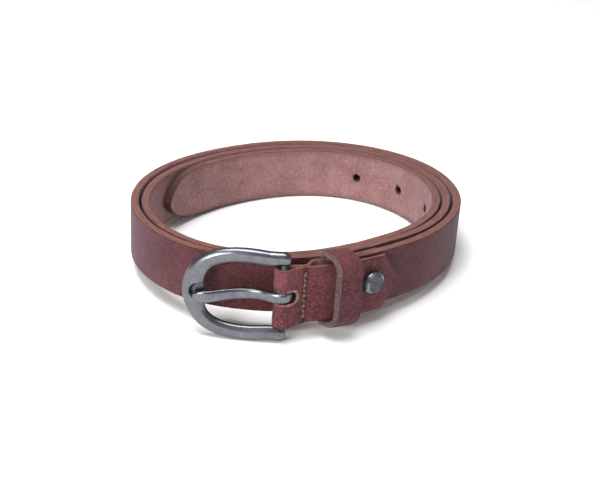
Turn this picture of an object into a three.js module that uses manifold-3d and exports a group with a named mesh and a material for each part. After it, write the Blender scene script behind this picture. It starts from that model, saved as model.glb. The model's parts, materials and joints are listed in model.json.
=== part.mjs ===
// A leather belt, coiled and standing on its edge, with its buckle at the front.
// Millimetres, +Z up, origin on the surface it stands on, under the middle of its box.
import * as THREE from 'three';
import { mergeVertices } from 'three/addons/utils/BufferGeometryUtils.js';
import Module from 'manifold-3d';

const wasm = await Module();
wasm.setup();

// ---- Driving dimensions ----
const FIT_GAP = 0.3; // clearance between pieces that touch

// Strap
const STRAP_WIDTH = 25;
const STRAP_THICKNESS = 3.7;
const TIP_LENGTH = 27; // rounded point of the tail
const TIP_BLUNT = 1.5; // half width left at the very tip
const HOLE_COUNT = 5;
const HOLE_RADIUS = 1.7;
const HOLE_PITCH = 25.4;
const FIRST_HOLE = 113.5; // from the tip

// Coil, seen from above: angles run counter-clockwise from +X, on and on through the turns
const COIL_RADIUS = 73.2; // mean outer radius of the first turn
const COIL_STRETCH = 6.3; // the coil is a little longer one way
const STRETCH_HEADING = 33; // heading of its long way
const COIL_START = -93; // angle where the turns are counted from
const STRAP_START = -69; // the strap's hidden end, inside the tab
const TAIL_END = 893; // the tip of the tail, nearly two turns further in
const CREEP = 1.28; // how much each turn tightens on its way round
const LAYER_GAP = 1.1; // between turns, where they lie loose
const TIGHT_GAP = 0.35; // between turns, where they are pressed together
const STEP_LEAD = 0.03; // each turn ducks under the one before, from this share of a turn early
const STEP_SPAN = 0.17; // over this share of a turn
const INNER_SAG = 1.1; // the inner turns sit this much lower for each turn
const SAG_START = 0.75; // turns before they start to

// Buckle tab: a separate folded piece that holds the bar and covers the strap's end
const TAB_WIDTH = STRAP_WIDTH + 0.4;
const TAB_FRONT = 2.0; // leaf thickness
const TAB_FOLD = 1.7;
const TAB_BACK = 1.6;
const TAB_DROP = 1.0; // it sits a little lower than the strap
const TAB_POINT_ANGLE = -51; // apex of the front leaf
const TAB_POINT_LENGTH = 6.5;
const TAB_POINT_BLUNT = 2.2; // half width of its blunt apex
const TAB_BACK_END = -56;
const PINCH_ANGLE = -86.3; // where both leaves are stitched together
const FOLD_DROP = 0.8; // the buckle's weight pulls the fold down this much
const SLOT_PLAY = 0.5; // round the prong

// Stitches
const STITCH_COUNT = 9;
const STITCH_PITCH = 2.35;
const THREAD = 0.7;
const STITCH_HOLE = 0.85; // radius

// Rivet
const RIVET_ANGLE = -62;
const RIVET_HEIGHT = 13.4;
const CAP_RADIUS = 4.9;
const CAP_HEIGHT = 3.3;
const CAP_BEVEL = 1.4;
const POST_RADIUS = 1.5;
const FLANGE_RADIUS = 3.9;
const FLANGE_THICKNESS = 0.8;
const FLANGE_PROUD = 0.15; // of the back leaf it is pressed into

// Keeper
const KEEPER_ANGLE = -76.4;
const KEEPER_WIDTH = 10.6;
const KEEPER_THICKNESS = 2.2;
const KEEPER_BACK_PLAY = 0.6; // behind the front leaf
const KEEPER_EDGE_PLAY = 2.3; // above and below the tab
const KEEPER_RISE = 1.4; // above the tab's middle
const TAIL_ROOM = 0.8; // beyond one strap thickness, for the tail
const KEEPER_SHEAR = 3.4; // its front leans this far along the strap
const KEEPER_FRONT_RADIUS = 7.5;
const KEEPER_BACK_RADIUS = 2.4;
const SEAM_GAP = 0.4;
const STAPLE_WIRE = 0.6;
const STAPLE_SPAN = 5;

// Buckle
const BAR_ANGLE = -92.85;
const BAR_OFFSET = 1.1; // outside the strap's outer face
const BAR_RADIUS = 1.9;
const BAR_SOCKET = 2.4; // how deep it sits in each arm
const FRAME_OPENING = STRAP_WIDTH + 2.6; // between the arms, at the bar
const FRAME_FLARE = 1.9; // each arm stands this much wider near the round end
const FRAME_DROP = 0.9; // it hangs this much below the tab's middle
const ARM_WIDTH = 6.5;
const FRAME_THICKNESS = 4.5;
const END_WIDTH = 8.9; // of the frame's round end
const FRAME_REACH = 41.4; // bar to the far edge
const ARM_PAST_BAR = 2.4;
const ARM_STRAIGHT = 11;
const FRAME_BOW = 300; // radius of its bow
const NOTCH_WIDTH = 9;
const NOTCH_LENGTH = 6.4;
const NOTCH_FLOOR = 1.2; // above the middle of the frame's thickness
const PRONG_WIDTH = 4.3; // at its eye
const PRONG_THICKNESS = 2.2;
const PRONG_END_WIDTH = 5.2; // where it meets the frame
const PRONG_TIP_WIDTH = 3.4;
const PRONG_TIP_THICKNESS = 1.6;
const PRONG_TIP_SHORT = 4.6; // of the frame's far edge
const PRONG_DIP = 1.8; // the shank dips this far behind the bar
const PRONG_RISE = 1; // its eye hangs this much above the frame's middle
const PRONG_TILT = 4.8; // and its tip hangs lower
const EYE_PLAY = 0.5; // between the prong's eye and the bar

// ---- Materials ----
const leather = (color, roughness) => new THREE.MeshStandardMaterial({ color, roughness, metalness: 0 });
const metal = (color, roughness) => new THREE.MeshStandardMaterial({ color, roughness, metalness: 1 });

// ---- Small helpers ----
const radians = THREE.MathUtils.degToRad;
const ramp = (value) => THREE.MathUtils.smoothstep(value, 0, 1);
const mix = THREE.MathUtils.lerp;
const UP = new THREE.Vector3(0, 0, 1);

function toSolid(geometry) {
  const bare = geometry.clone();
  bare.deleteAttribute('normal');
  bare.deleteAttribute('uv');
  const merged = mergeVertices(bare, 1e-4);
  const vertProperties = new Float32Array(merged.attributes.position.array);
  const triVerts = new Uint32Array(merged.index.array);
  return new wasm.Manifold(new wasm.Mesh({ numProp: 3, vertProperties, triVerts }));
}

function toGeometry(solid) {
  const mesh = solid.getMesh();
  const geometry = new THREE.BufferGeometry();
  geometry.setAttribute('position', new THREE.BufferAttribute(mesh.vertProperties, 3));
  geometry.setIndex(new THREE.BufferAttribute(mesh.triVerts, 1));
  geometry.computeVertexNormals();
  return geometry;
}

// Skins a row of equal rings and closes both ends with a fan.
function loft(rings) {
  const size = rings[0].length;
  const points = rings.flat();
  const index = [];
  for (let ring = 0; ring + 1 < rings.length; ring += 1) {
    for (let corner = 0; corner < size; corner += 1) {
      const next = (corner + 1) % size;
      const a = ring * size + corner;
      const b = ring * size + next;
      index.push(a, b, b + size);
      index.push(a, b + size, a + size);
    }
  }
  const last = (rings.length - 1) * size;
  for (let corner = 1; corner + 1 < size; corner += 1) {
    index.push(0, corner + 1, corner);
    index.push(last, last + corner, last + corner + 1);
  }
  const geometry = new THREE.BufferGeometry().setFromPoints(points);
  geometry.setIndex(index);
  return faceOut(geometry);
}

// Turns every face over if the body came out inside out.
function faceOut(geometry) {
  const position = geometry.attributes.position;
  const index = geometry.index.array;
  const corner = [new THREE.Vector3(), new THREE.Vector3(), new THREE.Vector3()];
  let volume = 0;
  for (let face = 0; face < index.length; face += 3) {
    corner.forEach((point, k) => point.fromBufferAttribute(position, index[face + k]));
    volume += corner[0].dot(corner[1].clone().cross(corner[2]));
  }
  if (volume < 0) {
    for (let face = 0; face < index.length; face += 3) {
      const kept = index[face];
      index[face] = index[face + 1];
      index[face + 1] = kept;
    }
  }
  return geometry;
}

// A round cutter or pin, centred on a point.
function rod(centre, direction, radius, length, sides = 16) {
  const geometry = new THREE.CylinderGeometry(radius, radius, length, sides);
  const turn = new THREE.Quaternion().setFromUnitVectors(new THREE.Vector3(0, 1, 0), direction);
  geometry.applyQuaternion(turn);
  geometry.translate(centre.x, centre.y, centre.z);
  return geometry;
}

// ---- The coil's plan ----
const tabBackRoom = FIT_GAP + TAB_BACK + FLANGE_PROUD + FIT_GAP;
const layerPitch = STRAP_THICKNESS + LAYER_GAP;
const pressFirst = Math.max(0, tabBackRoom - LAYER_GAP);
const pressSecond = Math.max(0, pressFirst - (LAYER_GAP - TIGHT_GAP));

// The inner turns give way behind the tab.
function pressedIn(turns) {
  const window = (share) => ramp((share + 0.09) / 0.07) * (1 - ramp((share - 0.11) / 0.1));
  return pressFirst * window(turns - 1) + pressSecond * window(turns - 2);
}

function faceRadius(angle) {
  const turns = (angle - COIL_START) / 360;
  let steps = -1;
  for (let turn = 0; turn < 3; turn += 1) {
    steps += ramp((turns - turn + STEP_LEAD) / STEP_SPAN);
  }
  const stretch = COIL_STRETCH * Math.cos(radians(2 * (angle - STRETCH_HEADING)));
  return COIL_RADIUS + stretch - CREEP * turns - (layerPitch - CREEP) * steps - pressedIn(turns);
}

function facePoint(angle) {
  const radius = faceRadius(angle);
  return new THREE.Vector2(radius * Math.cos(radians(angle)), radius * Math.sin(radians(angle)));
}

function alongAt(angle) {
  return facePoint(angle + 0.05).sub(facePoint(angle - 0.05)).normalize();
}

function outwardAt(angle) {
  const along = alongAt(angle);
  return new THREE.Vector2(along.y, -along.x);
}

// A point beside the strap's outer face: positive offsets are outside the coil.
function track(angle, offset) {
  return facePoint(angle).addScaledVector(outwardAt(angle), offset);
}

function lift(plan, height) {
  return new THREE.Vector3(plan.x, plan.y, height);
}

// ---- Strap ----
class StrapLine extends THREE.Curve {
  angle(t) {
    return mix(STRAP_START, TAIL_END, t);
  }

  getPoint(t) {
    const angle = this.angle(t);
    const turns = (angle - COIL_START) / 360;
    const sag = INNER_SAG * Math.max(0, turns - SAG_START) / (1 + 0.5 * turns);
    return lift(track(angle, -STRAP_THICKNESS / 2), STRAP_WIDTH / 2 - sag);
  }
}

const strapLine = new StrapLine();
strapLine.arcLengthDivisions = 1200;
const strapLength = strapLine.getLength();

function roundedPoint(fromTip) {
  const share = Math.min(1, fromTip / TIP_LENGTH);
  const half = (STRAP_WIDTH / 2) * (1 - (1 - share) ** 2.1) ** 0.62;
  return Math.max(TIP_BLUNT, half);
}

function strapRing(share) {
  const t = strapLine.getUtoTmapping(share);
  const angle = strapLine.angle(t);
  const middle = strapLine.getPoint(t).z;
  const half = roundedPoint((1 - share) * strapLength);
  const outer = track(angle, 0);
  const inner = track(angle, -STRAP_THICKNESS);
  return [
    lift(outer, middle + half),
    lift(outer, middle - half),
    lift(inner, middle - half),
    lift(inner, middle + half),
  ];
}

function makeStrap() {
  const bodyEnd = 1 - TIP_LENGTH / strapLength;
  const bodySteps = 236;
  const tipSteps = 10;
  const rings = [];
  for (let step = 0; step <= bodySteps; step += 1) {
    rings.push(strapRing((bodyEnd * step) / bodySteps));
  }
  for (let step = 1; step <= tipSteps; step += 1) {
    const left = (1 - step / tipSteps) ** 1.6;
    rings.push(strapRing(1 - (1 - bodyEnd) * left));
  }
  let solid = toSolid(loft(rings));
  const cutLength = STRAP_THICKNESS + 2 * FIT_GAP;
  for (let hole = 0; hole < HOLE_COUNT; hole += 1) {
    const t = strapLine.getUtoTmapping(1 - (FIRST_HOLE + hole * HOLE_PITCH) / strapLength);
    const direction = lift(outwardAt(strapLine.angle(t)), 0);
    solid = solid.subtract(toSolid(rod(strapLine.getPoint(t), direction, HOLE_RADIUS, cutLength, 20)));
  }
  const seat = lift(track(RIVET_ANGLE, -STRAP_THICKNESS / 2), RIVET_HEIGHT);
  const across = lift(outwardAt(RIVET_ANGLE), 0);
  solid = solid.subtract(toSolid(rod(seat, across, POST_RADIUS + FIT_GAP, cutLength)));
  return toGeometry(solid);
}

// ---- Buckle tab ----
const tabMiddle = STRAP_WIDTH / 2 - TAB_DROP;
const buckleMiddle = tabMiddle - FRAME_DROP;
const eyeRadius = BAR_RADIUS + EYE_PLAY + PRONG_THICKNESS / 2;
const slotWidth = PRONG_WIDTH + 2 * SLOT_PLAY;
const barPlan = track(BAR_ANGLE, BAR_OFFSET);
const frontMiddle = FIT_GAP + TAB_FRONT / 2;
const backStitched = -TAB_BACK / 2;
const backMiddle = -(STRAP_THICKNESS + FIT_GAP + TAB_BACK / 2);
const foldRadius = BAR_RADIUS + FIT_GAP + TAB_FOLD / 2;

// The tab's middle line from the front point, round the bar, to the end of the back leaf.
function tabLine() {
  const points = [];
  for (let step = 0; step <= 7; step += 1) {
    points.push(track(mix(TAB_POINT_ANGLE, PINCH_ANGLE + 3, step / 7), frontMiddle));
  }
  points.push(track(PINCH_ANGLE, frontMiddle));
  points.push(track(PINCH_ANGLE - 2.6, frontMiddle + 0.7));
  const along = alongAt(BAR_ANGLE);
  const outward = outwardAt(BAR_ANGLE);
  for (let turn = 55; turn <= 305; turn += 25) {
    const point = barPlan.clone();
    point.addScaledVector(along, foldRadius * Math.cos(radians(turn)));
    point.addScaledVector(outward, foldRadius * Math.sin(radians(turn)));
    points.push(point);
  }
  points.push(track(PINCH_ANGLE - 2.4, backStitched - 0.45));
  points.push(track(PINCH_ANGLE - 0.4, backStitched));
  points.push(track(PINCH_ANGLE + 1.2, mix(backStitched, backMiddle, 0.1)));
  points.push(track(PINCH_ANGLE + 2.8, mix(backStitched, backMiddle, 0.62)));
  points.push(track(PINCH_ANGLE + 4.4, mix(backStitched, backMiddle, 0.97)));
  for (let step = 0; step <= 5; step += 1) {
    points.push(track(mix(PINCH_ANGLE + 7, TAB_BACK_END, step / 5), backMiddle));
  }
  return new THREE.CatmullRomCurve3(points.map((point) => lift(point, 0)), false, 'centripetal');
}

function tabThickness(share, foldShare) {
  if (share < foldShare) return mix(TAB_FRONT, TAB_FOLD, ramp((share / foldShare - 0.6) / 0.3));
  return mix(TAB_FOLD, TAB_BACK, ramp((share - foldShare) / 0.1));
}

function slotCutter() {
  const along = alongAt(BAR_ANGLE);
  const reach = eyeRadius + PRONG_THICKNESS / 2 + 4 * SLOT_PLAY - slotWidth / 2;
  const shape = new THREE.Shape();
  const far = foldRadius + TAB_FOLD + 1;
  shape.moveTo(-far, -slotWidth / 2);
  shape.lineTo(reach, -slotWidth / 2);
  shape.absarc(reach, 0, slotWidth / 2, -Math.PI / 2, Math.PI / 2, false);
  shape.lineTo(-far, slotWidth / 2);
  const depth = 2 * far;
  const geometry = new THREE.ExtrudeGeometry(shape, { depth, bevelEnabled: false, curveSegments: 6 });
  geometry.translate(0, 0, -depth / 2);
  const outward = lift(outwardAt(BAR_ANGLE), 0);
  const basis = new THREE.Matrix4().makeBasis(lift(along, 0), UP, outward);
  geometry.applyMatrix4(basis);
  geometry.translate(barPlan.x, barPlan.y, buckleMiddle + PRONG_RISE);
  return geometry;
}

function stitchHeights() {
  const first = tabMiddle - (STITCH_COUNT * STITCH_PITCH) / 2;
  return Array.from({ length: STITCH_COUNT + 1 }, (_, k) => first + k * STITCH_PITCH);
}

function makeTab() {
  const line = tabLine();
  line.arcLengthDivisions = 800;
  const length = line.getLength();
  const frontLength = length * 0.545;
  const steps = 84;
  const pointSteps = 6;
  const shares = [];
  for (let step = 0; step < pointSteps; step += 1) {
    shares.push((TAB_POINT_LENGTH / length) * (step / pointSteps) ** 1.3);
  }
  for (let step = 0; step <= steps; step += 1) {
    shares.push(mix(TAB_POINT_LENGTH / length, 1, step / steps));
  }
  const rings = shares.map((share) => {
    const point = line.getPointAt(share);
    const tangent = line.getTangentAt(share);
    const side = new THREE.Vector3(tangent.y, -tangent.x, 0);
    const half = tabThickness(share, frontLength / length) / 2;
    const fromPoint = Math.min(1, (share * length) / TAB_POINT_LENGTH);
    const reach = mix(TAB_POINT_BLUNT, TAB_WIDTH / 2, fromPoint ** 0.85);
    const fromBar = Math.hypot(point.x - barPlan.x, point.y - barPlan.y);
    const drop = FOLD_DROP * (1 - ramp((fromBar - foldRadius) / 9));
    const ring = [[1, 1], [1, -1], [-1, -1], [-1, 1]];
    return ring.map(([across, upward]) => {
      const corner = point.clone().addScaledVector(side, across * half);
      corner.z = tabMiddle - drop + upward * reach;
      return corner;
    });
  });
  let solid = toSolid(loft(rings)).subtract(toSolid(slotCutter()));
  const stitchSide = lift(outwardAt(PINCH_ANGLE), 0);
  const pinchDepth = frontMiddle + TAB_FRONT + TAB_BACK;
  for (const height of stitchHeights()) {
    const centre = lift(track(PINCH_ANGLE, 0), height);
    solid = solid.subtract(toSolid(rod(centre, stitchSide, STITCH_HOLE, 2 * pinchDepth, 6)));
  }
  const rivetSide = lift(outwardAt(RIVET_ANGLE), 0);
  const through = rod(lift(track(RIVET_ANGLE, 0), RIVET_HEIGHT), rivetSide, POST_RADIUS + FIT_GAP, 20);
  solid = solid.subtract(toSolid(through));
  const seatDepth = flangeTop + FIT_GAP;
  const seat = lift(track(RIVET_ANGLE, seatDepth - 2), RIVET_HEIGHT);
  solid = solid.subtract(toSolid(rod(seat, rivetSide, FLANGE_RADIUS + FIT_GAP, 4, 24)));
  return toGeometry(solid);
}

// ---- Stitches ----
// A comb: the thread lies over the leaf between holes and dips into each one.
function makeThread(surface, inside, towards) {
  const heights = stitchHeights();
  const last = heights.length - 1;
  const half = THREAD / 2;
  const shape = new THREE.Shape();
  shape.moveTo(heights[0] - half, inside);
  shape.lineTo(heights[0] - half, surface + towards * THREAD * 0.7);
  for (let k = 0; k < last; k += 1) {
    const middle = (heights[k] + heights[k + 1]) / 2;
    const crest = surface + towards * (THREAD * 1.3 + FIT_GAP);
    const dip = surface + towards * (THREAD * 0.7 + FIT_GAP);
    shape.quadraticCurveTo(middle, crest, heights[k + 1] - half, dip);
    shape.lineTo(heights[k + 1] + half, dip);
  }
  shape.lineTo(heights[last] + half, inside);
  for (let k = last; k >= 0; k -= 1) {
    if (k < last) shape.lineTo(heights[k] + half, inside);
    if (k > 0) {
      shape.lineTo(heights[k] - half, inside);
      shape.lineTo(heights[k] - half, surface + towards * FIT_GAP);
      shape.lineTo(heights[k - 1] + half, surface + towards * FIT_GAP);
    }
  }
  const settings = { depth: THREAD, bevelEnabled: false, curveSegments: 3 };
  const geometry = new THREE.ExtrudeGeometry(shape, settings);
  geometry.translate(0, 0, -half);
  const outward = lift(outwardAt(PINCH_ANGLE), 0);
  const basis = new THREE.Matrix4().makeBasis(UP, outward, UP.clone().cross(outward));
  geometry.applyMatrix4(basis);
  const plan = track(PINCH_ANGLE, 0);
  geometry.translate(plan.x, plan.y, 0);
  return geometry;
}

// ---- Rivet ----
const capFoot = FIT_GAP + TAB_FRONT + FIT_GAP;
const flangeTop = -(STRAP_THICKNESS + FIT_GAP + TAB_BACK + FLANGE_PROUD - FLANGE_THICKNESS);

// Lathe profiles run from the axis out and back to it; +Y of the lathe points out of the belt.
function standOnRivet(geometry) {
  const outward = lift(outwardAt(RIVET_ANGLE), 0);
  geometry.applyQuaternion(new THREE.Quaternion().setFromUnitVectors(new THREE.Vector3(0, 1, 0), outward));
  const plan = track(RIVET_ANGLE, 0);
  geometry.translate(plan.x, plan.y, RIVET_HEIGHT);
  return geometry;
}

function makeRivetCap() {
  const socket = CAP_HEIGHT * 0.6;
  const top = capFoot + CAP_HEIGHT;
  const profile = [
    [0, capFoot + socket],
    [POST_RADIUS + FIT_GAP, capFoot + socket],
    [POST_RADIUS + FIT_GAP, capFoot],
    [CAP_RADIUS - 0.3, capFoot],
    [CAP_RADIUS, capFoot + 0.4],
    [CAP_RADIUS, top - CAP_BEVEL],
    [CAP_RADIUS - CAP_BEVEL, top],
    [0, top],
  ];
  return standOnRivet(new THREE.LatheGeometry(profile.map(([x, y]) => new THREE.Vector2(x, y)), 32));
}

function makeRivetPost() {
  const foot = flangeTop - FLANGE_THICKNESS;
  const tip = capFoot + CAP_HEIGHT * 0.6 - FIT_GAP;
  const profile = [
    [0, foot],
    [FLANGE_RADIUS - 0.3, foot],
    [FLANGE_RADIUS, foot + 0.3],
    [FLANGE_RADIUS, flangeTop],
    [POST_RADIUS, flangeTop],
    [POST_RADIUS, tip],
    [0, tip],
  ];
  return standOnRivet(new THREE.LatheGeometry(profile.map(([x, y]) => new THREE.Vector2(x, y)), 24));
}

// ---- Keeper ----
const keeperInnerBack = FIT_GAP - KEEPER_BACK_PLAY;
const keeperInnerFront = FIT_GAP + TAB_FRONT + STRAP_THICKNESS + TAIL_ROOM;
const keeperInnerHalf = TAB_WIDTH / 2 + KEEPER_EDGE_PLAY;
const keeperMiddle = tabMiddle + KEEPER_RISE;

// The loop's outline across the strap, from one side of its seam round to the other.
function keeperOutline(grow) {
  const back = keeperInnerBack - grow;
  const front = keeperInnerFront + grow;
  const half = keeperInnerHalf + grow;
  const backRadius = Math.max(0.2, KEEPER_BACK_RADIUS - KEEPER_THICKNESS + grow);
  const frontRadius = KEEPER_FRONT_RADIUS - KEEPER_THICKNESS + grow;
  const quarter = Math.PI / 2;
  const path = new THREE.Path();
  path.moveTo(back, SEAM_GAP / 2);
  path.lineTo(back, half - backRadius);
  path.absarc(back + backRadius, half - backRadius, backRadius, 2 * quarter, quarter, true);
  path.absarc(front - frontRadius, half - frontRadius, frontRadius, quarter, 0, true);
  path.absarc(front - frontRadius, frontRadius - half, frontRadius, 0, -quarter, true);
  path.absarc(back + backRadius, backRadius - half, backRadius, -quarter, -2 * quarter, true);
  path.lineTo(back, -SEAM_GAP / 2);
  return path.getPoints(7);
}

function onKeeper(offset, along, height) {
  const depth = keeperInnerFront - keeperInnerBack;
  const lean = KEEPER_SHEAR * ((offset - keeperInnerBack) / depth);
  const plan = track(KEEPER_ANGLE, offset).addScaledVector(alongAt(KEEPER_ANGLE), along + lean);
  return lift(plan, keeperMiddle + height);
}

function makeKeeper() {
  const inner = keeperOutline(0);
  const outer = keeperOutline(KEEPER_THICKNESS);
  const half = KEEPER_WIDTH / 2;
  const rings = outer.map((point, k) => [
    onKeeper(point.x, half, point.y),
    onKeeper(point.x, -half, point.y),
    onKeeper(inner[k].x, -half, inner[k].y),
    onKeeper(inner[k].x, half, inner[k].y),
  ]);
  let solid = toSolid(loft(rings));
  const side = lift(outwardAt(KEEPER_ANGLE), 0);
  for (const height of [-STAPLE_SPAN / 2, STAPLE_SPAN / 2]) {
    const centre = onKeeper(keeperInnerBack - KEEPER_THICKNESS / 2, 0, height);
    const hole = rod(centre, side, STAPLE_WIRE * 0.8 + FIT_GAP, KEEPER_THICKNESS * 2, 8);
    solid = solid.subtract(toSolid(hole));
  }
  return toGeometry(solid);
}

// A wire staple across the keeper's seam, its legs through the leather on either side.
function makeStaple() {
  const crown = keeperInnerBack - KEEPER_THICKNESS - FIT_GAP - STAPLE_WIRE;
  const leg = keeperInnerBack - 0.1;
  const half = STAPLE_SPAN / 2;
  const wire = STAPLE_WIRE / 2;
  const shape = new THREE.Shape();
  shape.moveTo(crown, -half - wire);
  shape.lineTo(leg, -half - wire);
  shape.lineTo(leg, -half + wire);
  shape.lineTo(crown + STAPLE_WIRE, -half + wire);
  shape.lineTo(crown + STAPLE_WIRE, half - wire);
  shape.lineTo(leg, half - wire);
  shape.lineTo(leg, half + wire);
  shape.lineTo(crown, half + wire);
  const geometry = new THREE.ExtrudeGeometry(shape, { depth: STAPLE_WIRE, bevelEnabled: false });
  geometry.translate(0, 0, -wire);
  const outward = lift(outwardAt(KEEPER_ANGLE), 0);
  geometry.applyMatrix4(new THREE.Matrix4().makeBasis(outward, UP, outward.clone().cross(UP)));
  const origin = onKeeper(keeperInnerBack - KEEPER_THICKNESS / 2, 0, 0);
  const plan = track(KEEPER_ANGLE, keeperInnerBack - KEEPER_THICKNESS / 2);
  const foot = track(KEEPER_ANGLE, 0);
  geometry.translate(foot.x + origin.x - plan.x, foot.y + origin.y - plan.y, keeperMiddle);
  return geometry;
}

// ---- Buckle ----
// Buckle places: reach runs from the bar to the round end, rise is up, out is away from the coil.
const reachWay = new THREE.Vector3(-1, 0, 0);
const outWay = new THREE.Vector3(0, -1, 0);

function onBuckle(reach, rise, out) {
  const place = lift(barPlan, buckleMiddle);
  place.addScaledVector(reachWay, reach);
  place.addScaledVector(UP, rise);
  place.addScaledVector(outWay, out);
  return place;
}

const bowAt = (reach) => -(reach * reach) / (2 * FRAME_BOW);
const armRise = FRAME_OPENING / 2 + ARM_WIDTH / 2;
const endReach = FRAME_REACH - END_WIDTH / 2;

function makeFrame() {
  const line = new THREE.CurvePath();
  const flat = (reach, rise) => new THREE.Vector3(reach, rise, 0);
  const shoulder = endReach * 0.8;
  const bend = [flat(ARM_STRAIGHT, armRise), flat(shoulder, armRise + 1.6 * FRAME_FLARE)];
  const turn = [flat(endReach, armRise * 0.72), flat(endReach, 0)];
  const mirrored = (point) => flat(point.x, -point.y);
  line.add(new THREE.LineCurve3(flat(-ARM_PAST_BAR, armRise), bend[0]));
  line.add(new THREE.CubicBezierCurve3(bend[0], bend[1], turn[0], turn[1]));
  line.add(new THREE.CubicBezierCurve3(turn[1], mirrored(turn[0]), mirrored(bend[1]), mirrored(bend[0])));
  line.add(new THREE.LineCurve3(mirrored(bend[0]), flat(-ARM_PAST_BAR, -armRise)));
  const steps = 56;
  const sides = 12;
  const length = line.getLength();
  const rings = [];
  for (let step = 0; step <= steps; step += 1) {
    const share = step / steps;
    const middle = line.getPointAt(share);
    const tangent = line.getTangentAt(share);
    const side = new THREE.Vector3(tangent.y, -tangent.x, 0);
    const widen = ramp(1 - Math.abs(middle.y) / armRise);
    const fromEnd = Math.min(share, 1 - share) * length;
    const round = Math.sqrt(1 - (1 - Math.min(1, 0.12 + fromEnd / 3)) ** 2);
    const halfWidth = (mix(ARM_WIDTH, END_WIDTH, widen) / 2) * round;
    const halfThick = (FRAME_THICKNESS / 2) * round;
    const ring = [];
    for (let k = 0; k < sides; k += 1) {
      const around = (2 * Math.PI * (k + 0.5)) / sides;
      const across = halfWidth * Math.sign(Math.cos(around)) * Math.abs(Math.cos(around)) ** 0.75;
      const out = halfThick * Math.sign(Math.sin(around)) * Math.abs(Math.sin(around)) ** 0.75;
      const place = middle.clone().addScaledVector(side, across);
      ring.push(onBuckle(place.x, place.y, out + bowAt(place.x)));
    }
    rings.push(ring);
  }
  const socketLength = FRAME_OPENING + 2 * (BAR_SOCKET + FIT_GAP);
  const socket = rod(onBuckle(0, 0, 0), UP, BAR_RADIUS + FIT_GAP, socketLength, 20);
  return toGeometry(toSolid(loft(rings)).subtract(toSolid(socket)).subtract(toSolid(notchCutter())));
}

// The dip in the round end that the prong's tip rests in.
function notchCutter() {
  const start = FRAME_REACH - END_WIDTH - 2;
  const end = FRAME_REACH - END_WIDTH + NOTCH_LENGTH;
  const steps = 6;
  const rings = [];
  for (let step = 0; step <= steps; step += 1) {
    const reach = mix(start, end, step / steps);
    const floor = bowAt(reach) + NOTCH_FLOOR + (step === steps ? 0.4 : 0);
    const half = (NOTCH_WIDTH / 2) * Math.sqrt(1 - 0.88 * (step / steps) ** 3);
    const top = bowAt(start) + FRAME_THICKNESS;
    rings.push([
      onBuckle(reach, half, top),
      onBuckle(reach, -half, top),
      onBuckle(reach, -half, floor),
      onBuckle(reach, half, floor),
    ]);
  }
  return loft(rings);
}

function makeBar() {
  return rod(onBuckle(0, 0, 0), UP, BAR_RADIUS, FRAME_OPENING + 2 * BAR_SOCKET, 20);
}

function prongWidth(reach, tipReach) {
  const body = mix(PRONG_WIDTH, PRONG_END_WIDTH, ramp((reach - 6) / 24));
  return mix(body, PRONG_TIP_WIDTH, ramp((reach - tipReach + 4.5) / 4.5));
}

function makeProng() {
  const tipReach = FRAME_REACH - PRONG_TIP_SHORT;
  const inner = FRAME_REACH - END_WIDTH;
  const seat = (reach) => bowAt(reach) + NOTCH_FLOOR + FIT_GAP + PRONG_THICKNESS / 2;
  const points = [];
  for (let turn = 250; turn >= 0; turn -= 25) {
    const around = radians(turn);
    points.push(new THREE.Vector3(-eyeRadius * Math.sin(around), 0, eyeRadius * Math.cos(around)));
  }
  points.push(new THREE.Vector3(eyeRadius * 0.75, 0, eyeRadius * 0.88));
  points.push(new THREE.Vector3(tipReach * 0.15, 0, eyeRadius * 0.45));
  points.push(new THREE.Vector3(tipReach * 0.25, 0, -PRONG_DIP * 0.35));
  points.push(new THREE.Vector3(tipReach * 0.37, 0, -PRONG_DIP * 0.95));
  points.push(new THREE.Vector3(tipReach * 0.52, 0, -PRONG_DIP));
  points.push(new THREE.Vector3(tipReach * 0.68, 0, -PRONG_DIP * 0.35));
  points.push(new THREE.Vector3(inner - 1.5, 0, seat(inner) + 0.1));
  points.push(new THREE.Vector3(inner + 2, 0, seat(inner + 2) + 0.1));
  points.push(new THREE.Vector3(tipReach, 0, seat(tipReach)));
  const line = new THREE.CatmullRomCurve3(points, false, 'centripetal');
  line.arcLengthDivisions = 400;
  const steps = 52;
  const rings = [];
  for (let step = 0; step <= steps; step += 1) {
    const share = step / steps;
    const middle = line.getPointAt(share);
    const tangent = line.getTangentAt(share);
    const side = new THREE.Vector3(-tangent.z, 0, tangent.x);
    const taper = ramp((share - 0.75) / 0.25);
    const blunt = share > 0.985 ? 0.72 : 1;
    const halfWidth = (prongWidth(middle.x, tipReach) / 2) * blunt;
    const halfThick = (mix(PRONG_THICKNESS, PRONG_TIP_THICKNESS, taper) / 2) * blunt;
    const chamfer = 0.62;
    const section = [
      [1, chamfer], [chamfer, 1], [-chamfer, 1], [-1, chamfer],
      [-1, -chamfer], [-chamfer, -1], [chamfer, -1], [1, -chamfer],
    ];
    rings.push(section.map(([rise, out]) => {
      const place = middle.clone().addScaledVector(side, out * halfThick);
      const hang = PRONG_RISE - place.x * Math.tan(radians(PRONG_TILT));
      return onBuckle(place.x, hang + rise * halfWidth, place.z);
    }));
  }
  return loft(rings);
}

// ---- Assembly ----
const belt = new THREE.Group();

function addPiece(parent, name, geometry, material) {
  const mesh = new THREE.Mesh(geometry, material);
  mesh.name = name;
  parent.add(mesh);
}

const grain = leather(0x5a2c2a, 0.5);
const tabGrain = leather(0x5d2a2b, 0.55);
const keeperGrain = leather(0x5f2d30, 0.55);
const thread = leather(0x6b5640, 0.85);
const pewter = metal(0x8f9498, 0.34);
const steel = metal(0x9a9c9e, 0.3);
const cappedBrass = metal(0x6f767c, 0.38);

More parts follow.
